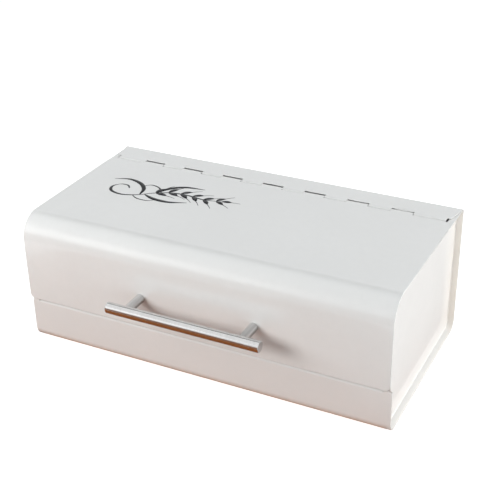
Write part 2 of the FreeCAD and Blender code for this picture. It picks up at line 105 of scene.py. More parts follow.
class BreadBoxSizes(PropertyGroup):
    """Sizes of the sheets and fittings that the solids' outlines don't give."""

    thickness: length("Sheet thickness", "Thickness of the painted sheet", 0.8)
    edge: length("Edge radius", "How far the paint rounds each cut edge", 0.24)
    fold: length("Hem fold", "Outer radius of the hem's fold", 0.85)
    hem: length("Hem depth", "How far each hem is folded back", 8)
    body_bend: length("Lower bends", "Outer radius of the two lower bends", 12)
    back_bend: length("Rear top bend", "Outer radius of the bend at the top of the back", 7)
    lid_bend: length("Lid bend", "Outer radius of the lid's front bend", 26)
    sill_height: length("Sill height", "Height of the fixed front above the bottom", 49.8)
    sill_fold: length("Sill fold", "Outer radius of the roll along the fixed front's top", 3.4)
    sill_setback: length("Sill setback", "How far the fixed front stands behind the lid", 4.2)
    sill_corner: length("Sill corner", "Corner radius of the fixed front", 4.5)
    strip_corner: length("Strip corner", "Corner radius of the strip behind the hinge", 2.5)
    strip_taper: length("Strip taper", "How far each end of that strip draws in", 4.5)
    lid_corner: length("Lid corner", "Radius of the lid's lower corners", 6.5)
    lid_rear_corner: length("Lid rear corner", "Radius of the lid's corners by the hinge", 9)
    panel_bend: length("Panel bend", "Outer radius of the side panel's inner bend", 1.8)
    panel_top_bend: length("Panel front corner", "Upper front corner of the side panel", 24.6)
    panel_reach: length("Panel reach", "How far the panel stands forward behind the lid", 3.4)
    edge_reach: length("Hinge gap", "From the pin's axis to each sheet's edge", 4.2)
    closing: length("Gap closing", "How far the hinge gap closes towards the right end", 0.6)
    closing_start: length("Closing start", "From the middle to where the gap starts to close", 60)
    dip: length("Strip dip", "How far the strip's edge dips towards the right end", 1.0)
    knuckle: length("Knuckle radius", "Outer radius of a rolled knuckle", 2.85)
    pitch: length("Knuckle pitch", "Distance between like knuckles", 50)
    lid_knuckle: length("Lid knuckle", "Width of a knuckle on the lid", 24.2)
    body_knuckle: length("Body knuckle", "Width of a knuckle on the body", 25)
    end_inset: length("End knuckle inset", "From the box's side to its end knuckle", 8.8)
    end_start: length("End knuckle start", "From the middle to an end knuckle", 162.5)
    print_depth: length("Print thickness", "Thickness of the printed ornament", 0.04)


class BreadBoxFinish(PropertyGroup):
    """Colours and surfaces."""

    paint: colour("Paint", "White gloss paint", (0.775, 0.765, 0.745))
    paint_roughness: share("Paint roughness", "Roughness of the gloss paint", 0.15)
    peel: share("Paint ripple", "Depth of the paint's fine ripple", 0.1)
    steel: colour("Handle steel", "Brushed steel of the bar and its posts", (0.7, 0.7, 0.7))
    steel_roughness: share("Handle roughness", "Roughness of the brushed steel", 0.15)
    wire: colour("Wire steel", "Plain steel of the hinge wire", (0.42, 0.42, 0.43))
    screw: colour("Screw plating", "Plating of the screws and washers", (0.58, 0.58, 0.6))
    ink: colour("Print", "Black print on the lid", (0.018, 0.018, 0.02))
    rubber: colour("Rubber", "Rubber of the feet", (0.06, 0.06, 0.062))


class BreadBoxStage(PropertyGroup):
    """Floor, light and camera."""

    floor: colour("Floor", "Pale floor as the camera sees it", (1.0, 1.0, 1.0))
    card: colour("Warm card", "Card that lies round the box", (0.33, 0.115, 0.04))
    shine: colour("Bright card", "Card overhead to the left, seen in the bar", (1.0, 1.0, 1.0))
    flag: colour("Grey card", "Card overhead to the rear, seen in the bar", (0.2, 0.195, 0.19))
    edge_card: colour("Edge card", "Warm light on the lower bend", (0.62, 0.33, 0.17))
    rear_glow: colour("Rear glow", "Warm light on the side panel's rear flange", (1.0, 0.85, 0.65))
    lower_glow: colour("Lower glow", "Light on the side panel's lower flange", (1.0, 1.0, 0.97))
    rim: colour("Warm rim", "Table beyond the warm card, seen in what shines", (0.3, 0.16, 0.11))
    pale: colour("Pale card", "Card that the right-hand side mirrors", (0.54, 0.51, 0.49))
    sky: colour("Sky", "Soft light from all round", (0.74, 0.89, 1.0))
    sky_strength: level("Sky strength", "Level of the all-round light", 0.22)
    light: level("Light", "Level of all the soft lights together", 1.0)
    azimuth: angle("Azimuth", "Camera's turn to the right of the front", radians(26.6))
    elevation: angle("Elevation", "Camera's height above the horizon", radians(28.58))
    roll: angle("Roll", "Camera's roll", radians(-0.94))
    distance: length("Distance", "From the camera to its target", 1136.8)
    target: position("Target", "What the camera looks at", (0.0005, 0.0317, 0.0991))
    lens: level("Lens", "Focal length in millimetres", 75.84)


# ---- Shader nodes ----

def feed(tree, node, inputs):
    """Set each named input of a node to a value, or link it to an output."""
    for name, given in inputs.items():
        if isinstance(given, bpy.types.NodeSocket):
            tree.links.new(given, node.inputs[name])
        else:
            node.inputs[name].default_value = given
    return node


def add_node(tree, kind, inputs=None, **settings):
    """One node, with its settings and its inputs."""
    node = tree.nodes.new(kind)
    for name, setting in settings.items():
        setattr(node, name, setting)
    return feed(tree, node, inputs or {})


def follow_on(kind, inputs, **settings):
    """One node in the tree that holds the outputs among its inputs."""
    outputs = [given for given in inputs.values() if isinstance(given, bpy.types.NodeSocket)]
    return add_node(outputs[0].id_data, kind, inputs, **settings)


def calculate(operation, *values, clamp=False):
    """A Math node's result."""
    return follow_on("ShaderNodeMath", dict(enumerate(values)), operation=operation,
                     use_clamp=clamp).outputs[0]


def times(first, second, clamp=False):
    """The product of two values."""
    return calculate("MULTIPLY", first, second, clamp=clamp)


def plus(first, second):
    """The sum of two values."""
    return calculate("ADD", first, second)


def weighed(first, first_weight, second, second_weight):
    """The sum of two values, each with its weight."""
    return plus(times(first, first_weight), times(second, second_weight))


def stretch(vector, factors):
    """A vector with a factor for each axis."""
    return follow_on("ShaderNodeVectorMath", {0: vector, 1: factors},
                     operation="MULTIPLY").outputs["Vector"]


def mix_colour(factor, first, second, blend="MIX"):
    """A Mix node's colour."""
    return follow_on("ShaderNodeMix", {"Factor": factor, 6: first, 7: second}, data_type="RGBA",
                     blend_type=blend).outputs[2]


def spread(value, low, high, to_low=0.0, to_high=1.0):
    """A value mapped from one range to another."""
    return follow_on("ShaderNodeMapRange",
                     {"Value": value, "From Min": low, "From Max": high, "To Min": to_low,
                      "To Max": to_high}, interpolation_type="SMOOTHSTEP").outputs["Result"]


def noise(vector, scale, detail=2.0, roughness=0.5):
    """A noise texture's value."""
    return follow_on("ShaderNodeTexNoise", {"Vector": vector, "Scale": scale, "Detail": detail,
                                            "Roughness": roughness}).outputs["Fac"]


def place_of(tree):
    """The surface's own coordinates, in metres."""
    return tree.nodes.new("ShaderNodeTexCoord").outputs["Object"]


def drift(group, given):
    """A colour that drifts a little over the surface, in broad clouds and in fine mottling."""
    place = place_of(group)
    broad = noise(place, given["Scale"], 3.0, 0.55)
    fine = noise(place, times(given["Scale"], 14.0))
    swing = spread(weighed(broad, 0.7, fine, 0.3), 0.35, 0.65, -1.0, 1.0)
    tone = plus(times(swing, given["Amount"]), 1.0)
    tint = follow_on("ShaderNodeCombineColor", {"Red": tone, "Green": tone, "Blue": tone})
    return {"Colour": mix_colour(1.0, given["Colour"], tint.outputs["Color"], "MULTIPLY")}


def edge_wear(group, given):
    """A mask along sharp edges, broken up by noise, where a finish thins or rubs."""
    rounded = follow_on("ShaderNodeBevel", {"Radius": given["Width"]}, samples=4)
    flat = group.nodes.new("ShaderNodeNewGeometry").outputs["Normal"]
    facing = follow_on("ShaderNodeVectorMath", {0: rounded.outputs["Normal"], 1: flat},
                       operation="DOT_PRODUCT").outputs["Value"]
    turned = spread(facing, 0.99, 0.75)
    patches = spread(noise(place_of(group), 160.0, 3.0), 0.35, 0.65)
    broken = calculate("SUBTRACT", 1.0, times(patches, given["Patchiness"]))
    return {"Mask": times(turned, broken, clamp=True)}


def dust(group, given):
    """A mask of fine dust that settles on what faces up."""
    normal = group.nodes.new("ShaderNodeNewGeometry").outputs["Normal"]
    upward = follow_on("ShaderNodeSeparateXYZ", {"Vector": normal}).outputs["Z"]
    settled = spread(upward, 0.3, 0.95)
    place = place_of(group)
    film = spread(noise(place, 35.0, 4.0, 0.6), 0.3, 0.75, 0.35, 1.0)
    specks = spread(noise(place, 2600.0, 1.0), 0.7, 0.8)
    cover = weighed(film, 0.7, specks, 0.8)
    return {"Mask": times(cover, times(settled, given["Amount"]), clamp=True)}


def ripple(group, given):
    """The height of a sprayed finish: a fine ripple over a long, very low swell."""
    place = place_of(group)
    fine = noise(place, given["Grain"], 1.0, 0.4)
    long = noise(place, 45.0, 1.0, 0.4)
    return {"Height": weighed(fine, 0.6, long, 2.0)}


def brushing(group, given):
    """Fine parallel lines of a brushed metal: their height, and a broader swing of tone."""
    stretched = stretch(place_of(group), given["Across"])
    lines = noise(stretched, 1.0, 3.0, 0.65)
    coarse = noise(stretch(stretched, (0.22, 0.22, 0.22)), 1.0)
    return {"Height": weighed(lines, 0.7, coarse, 0.3), "Tone": spread(coarse, 0.3, 0.7)}


FLOAT, COLOUR, VECTOR = "NodeSocketFloat", "NodeSocketColor", "NodeSocketVector"

# Each shared effect: the function that builds it, its inputs and its outputs.
EFFECTS = {
    "Colour drift": (drift, {"Colour": COLOUR, "Amount": FLOAT, "Scale": FLOAT},
                     {"Colour": COLOUR}),
    "Edge wear": (edge_wear, {"Width": FLOAT, "Patchiness": FLOAT}, {"Mask": FLOAT}),
    "Fine dust": (dust, {"Amount": FLOAT}, {"Mask": FLOAT}),
    "Paint ripple": (ripple, {"Grain": FLOAT}, {"Height": FLOAT}),
    "Brushed lines": (brushing, {"Across": VECTOR}, {"Height": FLOAT, "Tone": FLOAT}),
}


def build_effect(name):
    """A shared effect as a node group with named inputs and outputs."""
    build, *sockets = EFFECTS[name]
    group = bpy.data.node_groups.new(name, "ShaderNodeTree")
    for way, labels in zip(("INPUT", "OUTPUT"), sockets):
        for label, kind in labels.items():
            group.interface.new_socket(name=label, in_out=way, socket_type=kind)
    given = group.nodes.new("NodeGroupInput").outputs
    feed(group, group.nodes.new("NodeGroupOutput"), build(group, given))
    return group


def place_effect(tree, name, **inputs):
    """The outputs of a shared effect, which is built the first time that it is asked for."""
    group = bpy.data.node_groups.get(name) or build_effect(name)
    labelled = {label.capitalize(): given for label, given in inputs.items()}
    return add_node(tree, "ShaderNodeGroup", labelled, node_tree=group).outputs


# ---- Materials ----

def new_material(name):
    """An empty material with its tree and its Principled BSDF."""
    material = bpy.data.materials.new(name)
    material.use_nodes = True
    tree = material.node_tree
    return material, tree, tree.nodes["Principled BSDF"]


def solid_colour(value, factor=1.0):
    """A colour property as four numbers."""
    return (*[min(1.0, part * factor) for part in value], 1.0)


def drifted(tree, tint, amount, scale):
    """A colour property that drifts a little over the surface."""
    return place_effect(tree, "Colour drift", colour=solid_colour(tint), amount=amount,
                        scale=scale)["Colour"]


def rubbed(finish, bare, width, patchiness, strength):
    """A finish's colour, rubbed towards a barer one along its edges."""
    mask = place_effect(finish.id_data, "Edge wear", width=width, patchiness=patchiness)["Mask"]
    return mix_colour(times(mask, strength), finish, bare)


def bumped(height, strength, distance):
    """The normal of a surface with a height."""
    return follow_on("ShaderNodeBump", {"Strength": strength, "Distance": distance,
                                        "Height": height}).outputs["Normal"]


def make_paint(name, finish):
    """White gloss paint over steel, rippled, thin at the edges and lightly dusty on top."""
    material, tree, shader = new_material(name)
    thin = rubbed(drifted(tree, finish.paint, 0.012, 9.0), (0.46, 0.45, 0.44, 1.0), 0.0005, 0.6, 0.22)
    film = place_effect(tree, "Fine dust", amount=0.08)["Mask"]
    patches = noise(place_of(tree), 22.0, 3.0)
    gloss = spread(patches, 0.3, 0.7, finish.paint_roughness - 0.03, finish.paint_roughness + 0.04)
    relief = place_effect(tree, "Paint ripple", grain=650.0)["Height"]
    feed(tree, shader, {
        "Base Color": mix_colour(film, thin, (0.62, 0.58, 0.53, 1.0)),
        "Roughness": plus(gloss, times(film, 0.6)),
        "IOR": 1.5, "Coat Weight": 0.5, "Coat Roughness": 0.1,
        "Normal": bumped(relief, finish.peel, 0.00006),
    })
    return material


def make_steel(name, tint, roughness, across, anisotropy=0.0, smear=0.0, streaks=0.16, dark=0.72):
    """Brushed steel: fine lines, a slow drift of tone, handling smears and bright rubbed edges."""
    material, tree, shader = new_material(name)
    lines = place_effect(tree, "Brushed lines", across=across)
    # Darker streaks along the lines' tone; where they are made deep, as on the posts, they are also
    # painted reflection.
    streaked = mix_colour(times(lines["Tone"], streaks),
                          drifted(tree, tint, 0.04, 30.0), solid_colour(tint, dark))
    handled = spread(noise(place_of(tree), 48.0, 4.0, 0.6), 0.4, 0.7, 0.0, smear)
    grained = times(lines["Tone"], 0.05)
    feed(tree, shader, {
        "Base Color": rubbed(streaked, solid_colour(tint, 1.35), 0.0004, 0.4, 0.5),
        "Roughness": plus(plus(grained, handled), roughness),
        "Metallic": 1.0, "Anisotropic": anisotropy,
        "Normal": bumped(lines["Height"], 0.08, 0.00001),
    })
    return material


def make_ink(name, finish):
    """Matt black print with a slight unevenness of cover."""
    material, tree, shader = new_material(name)
    cover = spread(noise(place_of(tree), 900.0, 3.0), 0.62, 0.8)
    relief = place_effect(tree, "Paint ripple", grain=1500.0)["Height"]
    feed(tree, shader, {
        "Base Color": mix_colour(times(cover, 0.12),
                                 drifted(tree, finish.ink, 0.2, 60.0), (0.2, 0.2, 0.2, 1.0)),
        "Roughness": spread(noise(place_of(tree), 240.0), 0.3, 0.7, 0.36, 0.5),
        "Specular IOR Level": 0.15,
        "Normal": bumped(relief, 0.1, 0.00003),
    })
    return material


def make_rubber(name, finish):
    """Soft black rubber: fine speckle, paler where it is scuffed, dusty."""
    material, tree, shader = new_material(name)
    scuffed = rubbed(drifted(tree, finish.rubber, 0.18, 90.0), (0.2, 0.2, 0.2, 1.0), 0.0008, 0.5, 0.35)
    film = place_effect(tree, "Fine dust", amount=0.3)["Mask"]
    feed(tree, shader, {
        "Base Color": mix_colour(film, scuffed, (0.4, 0.38, 0.35, 1.0)),
        "Roughness": spread(noise(place_of(tree), 320.0, 3.0), 0.3, 0.7, 0.62, 0.82),
        "Normal": bumped(noise(place_of(tree), 2400.0), 0.3, 0.00005),
    })
    return material


def material_named(name):
    """A material of the object, made the first time that it is asked for."""
    if name in bpy.data.materials:
        return bpy.data.materials[name]
    finish = bpy.context.scene.bread_box_finish
    steels = {
        "bar_steel": (finish.steel, finish.steel_roughness, (9000.0, 70.0, 70.0), 0.35, 0.07),
        # Posts' deep lengthwise streaks: partly drawn lines, partly painted reflection of the shaded lid.
        "post_steel": (finish.steel, finish.steel_roughness, (900.0, 45.0, 900.0), 0.0, 0.05, 0.8,
                       0.5),
        "wire_steel": (finish.wire, 0.3, (90.0, 5000.0, 5000.0)),
        "plated_screw": (finish.screw, 0.28, (1500.0, 1500.0, 1500.0), 0.0, 0.05),
    }
    others = {"gloss_paint": make_paint, "lid_print": make_ink, "soft_rubber": make_rubber}
    return make_steel(name, *steels[name]) if name in steels else others[name](name, finish)


# ---- Meshes ----

def add_object(name, data):
    """A new object in the scene."""
    thing = bpy.data.objects.new(name, data)
    bpy.context.scene.collection.objects.link(thing)
    return thing


def add_mesh(name, mesh, material):
    """A mesh as an object in the scene, in its material."""
    data = bpy.data.meshes.new(name)
    mesh.to_mesh(data)
    mesh.free()
    data.materials.append(material)
    return add_object(name, data)


def add_piece(name, mesh, body, material, nodes=()):
    """A mesh as a shown piece that rides on a body and stands for the solids that it replaces."""
    piece = add_mesh(name, mesh, material_named(material))
    for face in piece.data.polygons:
        face.use_smooth = True
    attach(piece, body)
    if nodes:
        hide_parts(*nodes)
    return piece


def round_edges(piece, width, sharper=40.0):
    """Round the edges sharper than some degrees, and let flat faces keep flat shading."""
    bevel = piece.modifiers.new("rounded_edges", "BEVEL")
    bevel.width, bevel.segments = width, 2
    bevel.limit_method, bevel.angle_limit = "ANGLE", radians(sharper)
    bevel.use_clamp_overlap = False
    flat = piece.modifiers.new("flat_faces", "WEIGHTED_NORMAL")
    flat.weight, flat.keep_sharp = 80, False


def thicken(piece, thickness):
    """Give an open sheet its thickness, inwards from its outer face."""
    solid = piece.modifiers.new("sheet_thickness", "SOLIDIFY")
    solid.thickness, solid.offset, solid.use_even_offset = thickness, -1.0, True


def add_sheet(sizes, name, mesh, body, node):
    """An open sheet as a painted piece, with its thickness and its rounded edges."""
    piece = add_piece(name, mesh, body, "gloss_paint", [node])
    thicken(piece, sizes.thickness)
    round_edges(piece, sizes.edge)


def arc(centre_y, centre_z, radius, start, end, steps):
    """Points (y, z) along an arc, with its angles in degrees from +Y towards +Z."""
    turns = [radians(start + (end - start) * step / steps) for step in range(steps + 1)]
    return [(centre_y + radius * cos(turn), centre_z + radius * sin(turn)) for turn in turns]


def join_runs(runs):
    """One section from runs that meet: its points (y, z), and the kind of each strip.

    A run is (kind, points), or (kind, end, steps) for a straight line on from the last point.
    """
    points, kinds = list(runs[0][1][:1]), []
    for kind, way, *steps in runs:
        if steps:
            (y, z), (end_y, end_z) = points[-1], way
            shares = [step / steps[0] for step in range(steps[0] + 1)]
            way = [(y + (end_y - y) * part, z + (end_z - z) * part) for part in shares]
        points += way[1:]
        kinds += [kind] * (len(way) - 1)
    return points, kinds


def trim(across, half, radius, distance):
    """Where a column lies once its sheet's corner is rounded, at a distance from the edge."""
    inner = half - radius
    if distance >= radius or abs(across) <= inner:
        return across
    reach = sqrt(max(0.0, radius ** 2 - (radius - distance) ** 2))
    return copysign(inner + (abs(across) - inner) * reach / radius, across)


def columns_of(half, *cuts):
    """Columns across a sheet: its two sides, each cut and its mirror, and a regular filling."""
    step, least, digits = 12 * MM, 3 * MM, 7
    places = {round(sign * cut, digits) for cut in (0.0, half, *cuts) for sign in (-1, 1)}
    filling = [index * step for index in range(-int(half / step), int(half / step) + 1)]
    places |= {place for place in filling if all(abs(place - other) > least for other in places)}
    return sorted(places)


def build_sheet(runs, half, hem, low_corner, rear_corner, tabs, fade=0.0):
    """An open sheet with a hem and two rounded corners at the front, and knuckles at the rear.

    A corner is (edge's place, radius). The hem ends before the corners, and beyond its end the
    sheet runs straight on to its edge. The fold ends there at a thin relief cut, or fades out
    over a length.
    """
    points, kinds = join_runs(runs)
    relief = fade or 0.4 * MM
    columns = columns_of(half, hem, hem - relief, half - low_corner[1], half - rear_corner[1],
                         *itertools.chain(*tabs))
    front, top = min(y for y, z in points), max(z for y, z in points)
    first, rows = kinds.index("fold"), kinds.count("fold")
    hem_first = kinds[0] == "hem"
    root = points[first + rows if hem_first else first][1]

    def unfolded(index):
        """The row's place where the sheet runs straight on to its edge."""
        share = min(1.0, max(0.0, (index - first) / rows))
        share = 1 - share if hem_first else share
        return (front, root + (low_corner[0] - root) * share) if share else points[index]

    mesh = bmesh.new()
    grid = []
    for index, point in enumerate(points):
        line = []
        for column in columns:
            y, z = unfolded(index) if abs(column) >= hem - EXACT else point
            across = column
            if abs(y - front) < EXACT:
                across = trim(across, half, low_corner[1], abs(z - low_corner[0]))
            if abs(z - top) < EXACT:
                across = trim(across, half, rear_corner[1], abs(y - rear_corner[0]))
            line.append(mesh.verts.new((across, y, z)))
        grid.append(line)
    for kind, near, far in zip(kinds, grid, grid[1:]):
        for index in range(len(columns) - 1):
            middle = (columns[index] + columns[index + 1]) / 2
            left_out = {
                "face": False,
                "hem": abs(middle) > hem - relief,
                "fold": not fade and hem - relief < abs(middle) < hem,
                "knuckle": not any(low < middle < high for low, high in tabs),
            }
            if not left_out[kind]:
                mesh.faces.new((near[index], near[index + 1], far[index + 1], far[index]))
    bmesh.ops.remove_doubles(mesh, verts=mesh.verts, dist=1e-7)
    loose = [vertex for vertex in mesh.verts if not vertex.link_faces]
    bmesh.ops.delete(mesh, geom=loose, context="VERTS")
    return mesh


def bridge(mesh, rings, flipped=False):
    """Faces from each closed ring of points to the next."""
    for near, far in zip(rings, rings[1:]):
        for index in range(len(near)):
            after = (index + 1) % len(near)
            face = (near[index], near[after], far[after], far[index])
            mesh.faces.new(face[::-1] if flipped else face)


def circle(count):
    """The angles of points spaced evenly round a circle."""
    return [2 * pi * step / count for step in range(count)]


def lathe(centre, axis, profile, segments):
    """A closed turned form from (distance along the axis, radius) pairs, capped at both ends."""
    turn = Vector(axis).to_track_quat("Z", "X").to_matrix()
    mesh = bmesh.new()
    rings = []
    for along, radius in profile:
        spots = [Vector((radius * cos(way), radius * sin(way), along)) for way in circle(segments)]
        rings.append([mesh.verts.new(Vector(centre) + turn @ spot) for spot in spots])
    bridge(mesh, rings)
    mesh.faces.new(rings[0][::-1])
    mesh.faces.new(rings[-1])
    return mesh


# ---- Pieces ----

def knuckle_spans(sizes, width, low, high, shift=0.0):
    """Where some knuckles of a width stand across the box, counted in pitches from its middle."""
    centres = [(index + shift) * sizes.pitch for index in range(low, high)]
    return [(centre - width / 2, centre + width / 2) for centre in centres]


def make_body_shell(sizes):
    """The wrap: hemmed sill, bottom, back, and the strip that carries the hinge's knuckles."""
    front = LID_LOW.y + sizes.sill_setback
    low, back = BODY_LOW.z, BODY_HIGH.y
    sill = low + sizes.sill_height
    fold, bend, back_bend = sizes.sill_fold, sizes.body_bend, sizes.back_bend
    edge, corner = PIN_CENTRE.y + sizes.edge_reach, sizes.strip_corner
    clearance, fade = 2 * MM, 6 * MM
    half = BODY_HIGH.x
    end, inner = half - sizes.end_inset, sizes.end_start
    count = int((inner + sizes.body_knuckle / 2) / sizes.pitch)
    spans = knuckle_spans(sizes, sizes.body_knuckle, -count, count, 0.5)
    spans += [(-end, -inner), (inner, end)]
    mesh = build_sheet([
        ("knuckle", arc(PIN_CENTRE.y, PIN_CENTRE.z, sizes.knuckle, 90, 360, 26)[::-1]),
        ("knuckle", (edge, TOP), 2),
        ("face", (edge + corner, TOP), 8),
        ("face", (back - back_bend, TOP), 4),
        ("face", arc(back - back_bend, TOP - back_bend, back_bend, 90, 0, 12)),
        ("face", (back, low + bend), 6),
        ("face", arc(back - bend, low + bend, bend, 360, 270, 16)),
        ("face", (front + bend, low), 6),
        ("face", arc(front + bend, low + bend, bend, 270, 180, 16)),
        ("face", (front, sill - sizes.sill_corner), 4),
        ("face", (front, sill - fold), 8),
        ("fold", arc(front + fold, sill - fold, fold, 180, 0, 12)),
        ("hem", (front + 2 * fold, sill - sizes.hem), 2),
    ], half, PANEL_LOW.x - clearance, (sill, sizes.sill_corner), (edge, corner), spans, fade)
    depth = back - back_bend - edge
    strip = [vertex for vertex in mesh.verts
             if vertex.co.z > TOP - STORED and vertex.co.y > edge - 2 * STORED]
    for vertex in strip:
        x, y, z = vertex.co
        near_edge = 1 - (y - edge) / corner
        if near_edge > 0 and sizes.closing_start < x < inner + STORED:
            bent = near_edge * (x - sizes.closing_start) / (inner - sizes.closing_start)
            vertex.co.y -= sizes.closing * bent
            if not any(low - STORED < x < high + STORED for low, high in spans):
                vertex.co.z -= sizes.dip * bent
        beyond = abs(x) - end
        if beyond > 0:
            drawn = sizes.strip_taper * (1 - (y - edge) / depth) * beyond / (half - end)
            vertex.co.x = copysign(end + beyond - drawn, x)
    add_sheet(sizes, "body_sheet", mesh, "box", "body_shell")


def make_side_panel(side, sizes):
    """A dished end panel: a flat web bent out all round to a flange inside the wrap."""
    sign = SIDES[side]
    low, high = PANEL_LOW, PANEL_HIGH
    bend, lower = sizes.panel_bend, sizes.body_bend - sizes.thickness
    forward = low.y - sizes.panel_reach
    corners = ((low.y, low.z, -1, -1, lower, 180), (high.y, low.z, 1, -1, lower, 270),
               (high.y, high.z, 1, 1, sizes.back_bend, 0),
               (forward, high.z, -1, 1, sizes.panel_top_bend, 90))
    gap, slope = 0.8 * MM, 3 * MM
    step = LID_LOW.z + gap

    def outline(inset):
        """The panel's outline moved inwards, with the step under the lid's edge."""
        places = []
        for y, z, out_y, out_z, radius, start in corners:
            left = max(0.0, radius - inset)
            shift = inset + left
            places += arc(y - out_y * shift, z - out_z * shift, left, start, start + 90, 12)
        return places + [(forward + inset, step + inset), (low.y + inset, step - slope + inset)]

    rows = [(high.x, 0.0), (high.x - (high.x - low.x - bend) / 2, 0.0)]
    for turned in range(0, 91, 9):
        turn = radians(turned)
        rows.append((low.x + bend * (1 - sin(turn)), bend * (1 - cos(turn))))
    rows += [(low.x, bend + 0.6 * MM), (low.x, bend + 4 * MM)]
    covered = LID_HIGH.x - 0.15 * MM
    widens_from, widens_over = 22 * MM, 12 * MM

    def reach(x, y, z):
        """How far out the flange stands: short of the lid's edge wherever the lid covers it."""
        below, behind = z < step - slope + EXACT, y > low.y + sizes.panel_top_bend
        if below or (behind and z < (low.z + high.z) / 2):
            return x
        uncovered = min(1.0, max(0.0, (y - PIN_CENTRE.y + widens_from) / widens_over))
        return min(x, covered + (high.x - covered) * uncovered)

    mesh = bmesh.new()
    grid = [[mesh.verts.new((sign * reach(x, y, z), y, z)) for y, z in outline(inset)]
            for x, inset in rows]
    bridge(mesh, grid, flipped=sign > 0)
    mesh.faces.new(grid[-1][::-sign])
    bmesh.ops.remove_doubles(mesh, verts=mesh.verts, dist=STORED)
    add_sheet(sizes, f"{side}_panel_sheet", mesh, "box", f"{side}_side_panel")


def make_lid_sheet(sizes):
    """The lid: hemmed lower edge, flat front, wide bend, flat top and rolled knuckles."""
    front, low, edge = LID_LOW.y, LID_LOW.z, PIN_CENTRE.y - sizes.edge_reach
    top, knuckle = TOP - sizes.print_depth, sizes.knuckle - sizes.print_depth
    fold, bend = sizes.fold, sizes.lid_bend - sizes.print_depth
    corner, rear = sizes.lid_corner, sizes.lid_rear_corner
    half, clearance = LID_HIGH.x, 3.2 * MM
    count = int(sizes.end_start / sizes.pitch)
    spans = knuckle_spans(sizes, sizes.lid_knuckle, -count, count + 1)
    inside = front + 2 * fold
    mesh = build_sheet([
        ("hem", [(inside, low + sizes.hem)]),
        ("hem", (inside, low + fold), 2),
        ("fold", arc(front + fold, low + fold, fold, 0, -180, 8)),
        ("face", (front, low + corner), 8),
        ("face", (front, top - bend), 8),
        ("face", arc(front + bend, top - bend, bend, 180, 90, 32)),
        ("face", (edge - rear, top), 12),
        ("face", (edge, top), 10),
        ("knuckle", (PIN_CENTRE.y, top), 2),
        ("knuckle", arc(PIN_CENTRE.y, PIN_CENTRE.z, knuckle, 90, -180, 26)),
    ], half, half - corner - clearance, (low, corner), (edge, rear), spans)
    add_sheet(sizes, "lid_sheet", mesh, "lid", "lid")


def make_hinge_wire(sizes):
    """The wire through the knuckles, from panel to panel, with its ends lightly broken."""
    half = PANEL_LOW.x - sizes.thickness - 0.1 * MM
    broken = 0.4 * MM
    end = [(-half, PIN_RADIUS - broken), (-half + broken, PIN_RADIUS)]
    profile = end + [(-along, radius) for along, radius in reversed(end)]
    mesh = lathe((0, PIN_CENTRE.y, PIN_CENTRE.z), (1, 0, 0), profile, 40)
    piece = add_piece("hinge_wire", mesh, "box", "wire_steel", ["hinge_pin"])
    round_edges(piece, 0.1 * MM, 30.0)


# The low rings that turning leaves on each end of the bar: depth and radius in millimetres.
BAR_END_RINGS = [(0.05, 0.6), (0.02, 1.2), (0.0, 2.2)]


def make_bar():
    """The handle's round bar, chamfered at its ends, with the turning's low rings on each face."""
    half, chamfer, plain, steps = BAR_HIGH.x, 0.6 * MM, 6 * MM, 12
    end = [(depth * MM - half, radius * MM) for depth, radius in BAR_END_RINGS]
    end += [(-half, BAR_RADIUS - chamfer), (chamfer - half, BAR_RADIUS)]
    middle = [(plain - half + 2 * (half - plain) * step / steps, BAR_RADIUS) for step in range(steps + 1)]
    profile = end + middle + [(-along, radius) for along, radius in reversed(end)]
    mesh = lathe(BAR_CENTRE, (-1, 0, 0), profile, 96)
    piece = add_piece("handle_rod", mesh, "lid", "bar_steel", ["handle_bar"])
    round_edges(piece, 0.12 * MM, 30.0)


def make_post(side):
    """A round stand-off, flat on the lid and saddled to the bar."""
    low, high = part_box(f"{side}_handle_post")
    centre, radius = (low + high) / 2, (high.x - low.x) / 2
    foot, chamfer, shoulder, sunk, hollow = LID_LOW.y, 0.3 * MM, 2 * MM, 0.05 * MM, 1 * MM

    def saddle(up):
        """How far forward the post's end stands: just inside the bar's surface."""
        return BAR_CENTRE.y + sqrt(BAR_RADIUS ** 2 - up ** 2) - sunk

    def ring(reach, place_at):
        """A ring of points round the post, as far forward as place_at gives for each height."""
        return [mesh.verts.new((centre.x + reach * cos(way), place_at(reach * sin(way)),
                                BAR_CENTRE.z + reach * sin(way))) for way in circle(64)]

    mesh = bmesh.new()
    rings = [ring(radius - chamfer, lambda up: foot), ring(radius, lambda up: foot - chamfer),
             ring(radius, lambda up: foot - shoulder), ring(radius, saddle)]
    bridge(mesh, rings)
    mesh.faces.new(rings[0][::-1])
    hub = mesh.verts.new((centre.x, BAR_CENTRE.y + BAR_RADIUS - hollow, BAR_CENTRE.z))
    last = rings[-1]
    for here, after in zip(last, last[1:] + last[:1]):
        mesh.faces.new((here, after, hub))
    bmesh.ops.recalc_face_normals(mesh, faces=mesh.faces)
    piece = add_piece(f"{side}_post", mesh, "lid", "post_steel", [f"{side}_handle_post"])
    round_edges(piece, 0.1 * MM, 30.0)


def make_foot(end, side):
    """A rubber foot with a rounded tread edge and a shallow dished tread."""
    low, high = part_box(f"{end}_{side}_foot")
    centre, radius = (low + high) / 2, (high.x - low.x) / 2
    rounding, dish = 0.4 * MM, 0.25 * MM
    profile = [(dish, 0.5 * MM), (dish, radius * 0.5), (0.0, radius * 0.62)]
    profile += [(height, reach) for reach, height in
                arc(radius - rounding, rounding, rounding, -90, 0, 5)]
    profile += [(high.z - low.z, radius)]
    mesh = lathe((centre.x, centre.y, low.z), (0, 0, 1), profile, 48)
    piece = add_piece(f"{end}_{side}_pad", mesh, "box", "soft_rubber",
                      [f"{end}_{side}_foot"])
    round_edges(piece, 0.08 * MM, 50.0)


def dress_node(name, material):
    """Give a solid that stays in view its material."""
    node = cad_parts[name]
    if not node.material_slots:
        node.data.materials.append(None)
    for slot in node.material_slots:
        slot.material = material_named(material)


# ---- Ornament ----

